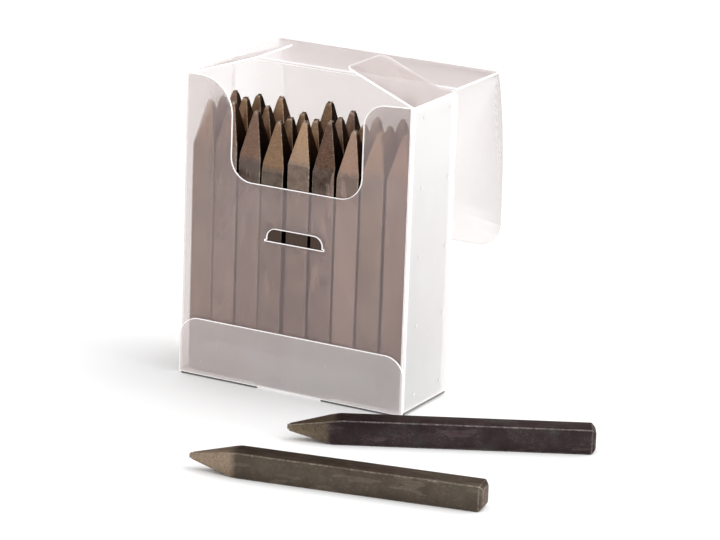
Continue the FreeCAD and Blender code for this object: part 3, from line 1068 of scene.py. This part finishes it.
# ---- Punches ---------------------------------------------------------------------------------------
@dataclass
class Punch:
    """One letter punch: a square bar with a chamfered struck end, a ground taper and a raised letter.

    Its tones say how light the shank is, then its stretch near the taper, then the ground taper.
    """

    letter: str
    material: bpy.types.Material
    heading: Optional[float] = None
    tip_half: float = 0.7
    half: float = 3.175
    struck_chamfer: float = 1.0
    taper: float = 11.0
    tip_depth_half: float = 0.7
    letter_raise: float = 0.3
    corner_r: float = 0.38
    crease: float = 0.28
    arc_steps: int = 3
    tones: Tuple[float, float, float] = (0.3, 0.3, 0.4)
    shaded_side: Optional[int] = None
    shade_depth: float = 1.2
    polish_and_highlight: float = 0.35
    dulled_from: float = 6.0
    dulled_to: float = 9.0
    ground_blend: float = 2.4
    rand: random.Random = field(default_factory=random.Random)

    @property
    def ground_tone(self) -> float:
        """How light the ground taper is."""
        return self.tones[2]

    def shank_tone(self, z: float, shoulder: float) -> float:
        """How light the shank is at a height.

        Args:
            z: The height from the struck end.
            shoulder: Where the taper starts.

        Returns:
            The tone: one near the taper, one for the rest, and lighter at the struck end, partly hammer
                polish and partly a painted highlight.
        """
        fall = shoulder - self.dulled_from - z
        share = min(1.0, max(0.0, fall / (self.dulled_to - self.dulled_from)))
        # Partly painted highlight: the struck end, which faces the light on the lying punches, is made
        # lighter along with its hammer polish.
        polish_and_highlight = self.polish_and_highlight if z < self.struck_chamfer / 2 else 0.0
        return self.tones[1] + (self.tones[0] - self.tones[1]) * share + polish_and_highlight

    def own_frame(self) -> Tuple[Matrix, float]:
        """Where the punch stands or lies.

        Returns:
            The matrix from its own frame, up its axis from the struck end, to the set's frame in
            millimetres, and its whole length.
        """
        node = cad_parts["punch_" + self.letter]
        if self.heading is None:
            turn = Matrix.Identity(4)
        else:
            turn = Matrix.Rotation(math.radians(self.heading), 4, "Z") @ Matrix.Rotation(math.pi / 2, 4, "Y")
        back = turn.inverted()
        points = [back @ (v.co / MM) for v in node.data.vertices]
        low = Vector(min(p[k] for p in points) for k in range(3))
        high = Vector(max(p[k] for p in points) for k in range(3))
        middle = Vector(((low.x + high.x) / 2, (low.y + high.y) / 2, low.z))
        return turn @ Matrix.Translation(middle), high.z - low.z

    def ring(self, widths: Sequence[float], z: float, radius: float) -> List[Vector]:
        """A rounded square round the axis.

        Args:
            widths: How far it reaches towards +X, +Y, -X and -Y.
            z: Its height.
            radius: The corners' radius.

        Returns:
            Its points, arc by arc.
        """
        east, north, west, south = widths
        r = min(radius, 0.45 * min(east + west, north + south))
        spots = (
            (east - r, north - r, 0),
            (r - west, north - r, 90),
            (r - west, r - south, 180),
            (east - r, r - south, 270),
        )
        points = []
        for x, y, begin in spots:
            for step in range(self.arc_steps + 1):
                angle = math.radians(begin + 90 * step / self.arc_steps)
                points.append(Vector((x + r * math.cos(angle), y + r * math.sin(angle), z)))
        return points

    def build(self) -> bpy.types.Object:
        """Make the punch with the marks its finish reads.

        Returns:
            The new object.
        """
        matrix, whole = self.own_frame()
        top = whole - self.letter_raise
        shoulder = top + self.letter_raise - self.taper
        tips = (self.tip_half, self.tip_depth_half, self.tip_half, self.tip_depth_half)
        starts = [shoulder - self.rand.choice((0.0, 0.0, 0.5, 1.1, 1.9)) for _ in range(4)]

        def widths(z: float) -> List[float]:
            """How far the bar reaches to each side at a height."""
            found = []
            for tip, start in zip(tips, starts):
                if z <= start:
                    found.append(self.half - max(0.0, self.struck_chamfer - z))
                else:
                    found.append(self.half + (tip - self.half) * (z - start) / (top - start))
            return found

        c = self.crease
        chamfer = self.struck_chamfer
        # Each row: height, how far it is drawn in, and how worn a crease it is; the high wear at the tip is
        # partly a painted highlight.
        rows = [(0.0, 0.22, 0.4), (0.1, 0.06, 0.7), (0.3, 0.0, 0.1)]
        rows += [(chamfer - c, 0.0, 0.0), (chamfer, 0.05, 0.45), (chamfer + c, 0.0, 0.0)]
        for start in sorted(set(starts)):
            rows += [(start - c, 0.0, 0.0), (start, 0.025, 0.0), (start + c, 0.0, 0.0)]
        rows += [(z, 0.0, 0.0) for z in (shoulder - self.dulled_from, shoulder - self.dulled_to)]
        rows += [(shoulder + 1.3, 0.0, 0.0), (top - 0.9, 0.0, 0.0)]
        rows += [(top - 0.35, 0.02, 0.3), (top - 0.12, 0.09, 0.8), (top, 0.2, 1.0)]
        rows.sort()
        bm = bmesh.new()
        edge_mark = bm.verts.layers.float.new("edge")
        ground_mark = bm.verts.layers.float.new("ground")
        tone_mark = bm.verts.layers.float.new("tone")
        bar_mark = bm.verts.layers.float_vector.new("bar")
        arc = self.arc_steps + 1
        rings = []
        for z, drawn, crease_wear_and_highlight in rows:
            reach = [w - drawn for w in widths(z)]
            radius = self.corner_r * (1.0 if z < shoulder else 0.75)
            ring = []
            for index, point in enumerate(self.ring(reach, z, radius)):
                vert = bm.verts.new(point)
                step = index % arc
                vert[edge_mark] = max(crease_wear_and_highlight, 0.5 if 0 < step < arc - 1 else 0.0)
                sides = (index // arc, (index // arc + 1) % 4)
                side = sides[0] if step < arc / 2 else sides[1]
                vert[ground_mark] = min(1.0, max(0.0, (z - starts[side]) / self.ground_blend))
                vert[tone_mark] = self.shank_tone(z, shoulder) if z <= starts[side] else self.ground_tone
                # Painted shade: the standing punches' +X faces, which face their neighbours, get a lower
                # tone.
                if side == self.shaded_side:
                    vert[tone_mark] -= self.shade_depth
                ring.append(vert)
            rings.append(ring)
        for low, high in zip(rings, rings[1:]):
            for i in range(len(low)):
                j = (i + 1) % len(low)
                bm.faces.new((low[i], low[j], high[j], high[i]))
        bm.faces.new(list(reversed(rings[0])))
        bm.faces.new(rings[-1])
        self.add_letter(bm, matrix.inverted(), top, edge_mark, ground_mark)
        shift = Vector((self.rand.uniform(-40, 40), self.rand.uniform(-40, 40), self.rand.uniform(-40, 40)))
        for vert in bm.verts:
            vert[bar_mark] = vert.co + shift
            vert.co = (matrix @ vert.co) * MM
        bmesh.ops.recalc_face_normals(bm, faces=bm.faces)
        name = "punch_" + self.letter
        return finish_mesh(bm, name, name + "_body", (self.material,))

    def add_letter(
        self, bm: bmesh.types.BMesh, back: Matrix, top: float, edge_mark: Any, ground_mark: Any
    ) -> None:
        """Take the raised letter over from the CAD node.

        Args:
            bm: The punch's mesh in its own frame.
            back: From the set's frame to the punch's own, in millimetres.
            top: The height of the tip.
            edge_mark: The layer for worn edges.
            ground_mark: The layer for ground steel.
        """
        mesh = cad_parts["punch_" + self.letter].data
        points = [back @ (v.co / MM) for v in mesh.vertices]
        made: Dict[Tuple[float, float, float], bmesh.types.BMVert] = {}
        for polygon in mesh.polygons:
            corners = [points[i] for i in polygon.vertices]
            if max(p.z for p in corners) < top + 0.1:
                continue
            verts = []
            for p in corners:
                key = (round(p.x, 4), round(p.y, 4), round(p.z, 4))
                if key not in made:
                    made[key] = bm.verts.new(p)
                    # The letter counts as fully worn, which is partly a painted highlight.
                    made[key][edge_mark] = 1.0
                    made[key][ground_mark] = 1.0
                verts.append(made[key])
            if len(set(verts)) == len(verts):
                bm.faces.new(verts)


@dataclass
class PunchSet:
    """All twenty-seven punches: the standing rows and the two that lie in front."""

    finishes: Finishes
    loose: Tuple[Tuple[str, float], ...] = (("r", 191.3), ("ampersand", 207.9))
    narrow: Tuple[str, ...] = ("i", "j", "l")
    wide: Tuple[str, ...] = ("m", "w", "ampersand")
    rosy: Tuple[str, ...] = ("b", "c", "f", "g", "i", "o", "s", "x", "z")
    tones: Tuple[Tuple[str, float, float, float], ...] = (
        ("a", 0.90, 0.9, 0.8), ("b", 0.85, 0.85, 0.7), ("c", 0.8, 0.10, 0.30), ("d", 0.55, 0.16, 0.42),
        ("e", 0.62, 0.50, 1.0), ("f", 0.5, 0.03, 0.06), ("g", 1.2, 0.70, 0.85), ("h", 0.8, 0.8, 0.7),
        ("i", 1.0, 1.0, 0.9), ("r", 0.35, 0.35, 0.45), ("ampersand", 0.3, 0.3, 0.4),
    )

    def tip_half(self, letter: str) -> float:
        """Half the width of a letter's tip."""
        if letter in self.narrow:
            return 0.55
        return 0.8 if letter in self.wide else 0.7

    def build(self) -> None:
        """Build every punch."""
        headings = dict(self.loose)
        steels = {letter: self.finishes.steel_rosy for letter in self.rosy}
        steels.update(r=self.finishes.steel_olive, ampersand=self.finishes.steel_black)
        tones = {letter: found for letter, *found in self.tones}
        for order, node in enumerate(sorted(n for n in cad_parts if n.startswith("punch_"))):
            letter = node[len("punch_"):]
            rand = random.Random(410 + order)
            tone = rand.uniform(0.1, 0.8)
            Punch(
                letter,
                steels.get(letter, self.finishes.steel),
                headings.get(letter),
                self.tip_half(letter),
                tones=tuple(tones.get(letter, (tone * 0.5, tone * 0.6, tone))),
                shaded_side=None if letter in headings else 0,
                rand=rand,
            ).build()


# ---- Studio ----------------------------------------------------------------------------------------
@dataclass
class Studio:
    """Pale floor, soft light and the camera."""

    lens: float = 179.66
    camera_at: Corner = (425.95, -763.73, 283.76)
    azimuth: float = 28.413
    elevation: float = 16.154
    roll: float = 2.057
    floor_half: float = 6.0
    air_strength: float = 0.97
    sky_direction: Corner = (0.42, 0.34, 0.84)
    sky_strength: float = 1.05
    sky_spread: float = 45.0
    softbox_at: Corner = (0.95, 0.05, 0.35)
    softbox_side: float = 0.5
    softbox_watts: float = 2.5
    softbox_aim: Corner = (0.0, 0.0, 0.03)

    def build(self) -> None:
        """Build the floor, the lights and the camera."""
        self.floor()
        self.world()
        self.softbox()
        self.sky_panel()
        self.camera()
        bpy.context.scene.view_settings.view_transform = "Standard"

    def floor(self) -> None:
        """A wide plain floor at the lowest point of the set."""
        z = CAD_BOX[0].z
        s = self.floor_half
        mesh = bpy.data.meshes.new("floor_mesh")
        mesh.from_pydata([(-s, -s, z), (s, -s, z), (s, s, z), (-s, s, z)], [], [(0, 1, 2, 3)])
        mesh.materials.append(PlainFloor().material())
        floor = bpy.data.objects.new("studio_floor", mesh)
        bpy.context.scene.collection.objects.link(floor)

    def world(self) -> None:
        """Even white light from all round."""
        world = bpy.data.worlds.new("studio_air")
        world.use_nodes = True
        back = world.node_tree.nodes["Background"]
        back.inputs["Color"].default_value = (1, 1, 1, 1)
        back.inputs["Strength"].default_value = self.air_strength
        bpy.context.scene.world = world

    def sky_panel(self) -> None:
        """A wide soft light high up behind the right shoulder of the carton."""
        data = bpy.data.lights.new("overhead_softbox", "SUN")
        data.energy = self.sky_strength
        data.angle = math.radians(self.sky_spread)
        self.light(data, Vector(self.sky_direction))

    def softbox(self) -> None:
        """A soft square lamp to the right that looks at the carton."""
        data = bpy.data.lights.new("side_softbox", "AREA")
        data.size = self.softbox_side
        data.energy = self.softbox_watts
        self.light(data, Vector(self.softbox_at) - Vector(self.softbox_aim), self.softbox_at)

    def light(self, data: bpy.types.Light, towards: Vector, at: Corner = (0.0, 0.0, 0.0)) -> None:
        """Put a light in the scene.

        Args:
            data: The light.
            towards: From what it lights to the light.
            at: Its place in metres.
        """
        lamp = bpy.data.objects.new(data.name, data)
        lamp.location = at
        lamp.rotation_euler = towards.to_track_quat("Z", "Y").to_euler()
        bpy.context.scene.collection.objects.link(lamp)

    def camera(self) -> None:
        """The camera, turned by azimuth round the set, raised by elevation and rolled."""
        a, e, r = (math.radians(x) for x in (self.azimuth, self.elevation, self.roll))
        back = Vector((math.sin(a) * math.cos(e), -math.cos(a) * math.cos(e), math.sin(e)))
        right = Vector((math.cos(a), math.sin(a), 0))
        up = back.cross(right)
        across = right * math.cos(r) + up * math.sin(r)
        upward = up * math.cos(r) - right * math.sin(r)
        data = bpy.data.cameras.new("studio_camera")
        data.sensor_width = 36.0
        data.lens = self.lens
        data.clip_start = 0.01
        camera = bpy.data.objects.new("studio_camera", data)
        turn = Matrix((across, upward, back)).transposed().to_4x4()
        camera.matrix_world = Matrix.Translation(Vector(self.camera_at) * MM) @ turn
        bpy.context.scene.collection.objects.link(camera)
        bpy.context.scene.camera = camera


def main() -> None:
    """Build the set in order: studio, carton, lid, dust flaps, punches."""
    logging.basicConfig(level=logging.INFO, format="%(message)s")
    Studio().build()
    finishes = Finishes.make()
    Carton(finishes).build()
    Lid(finishes).build()
    DustFlap(finishes, "left", -1, 19.0).build()
    DustFlap(finishes, "right", 1, 22.0).build()
    PunchSet(finishes).build()


if __name__ == "__main__":
    main()
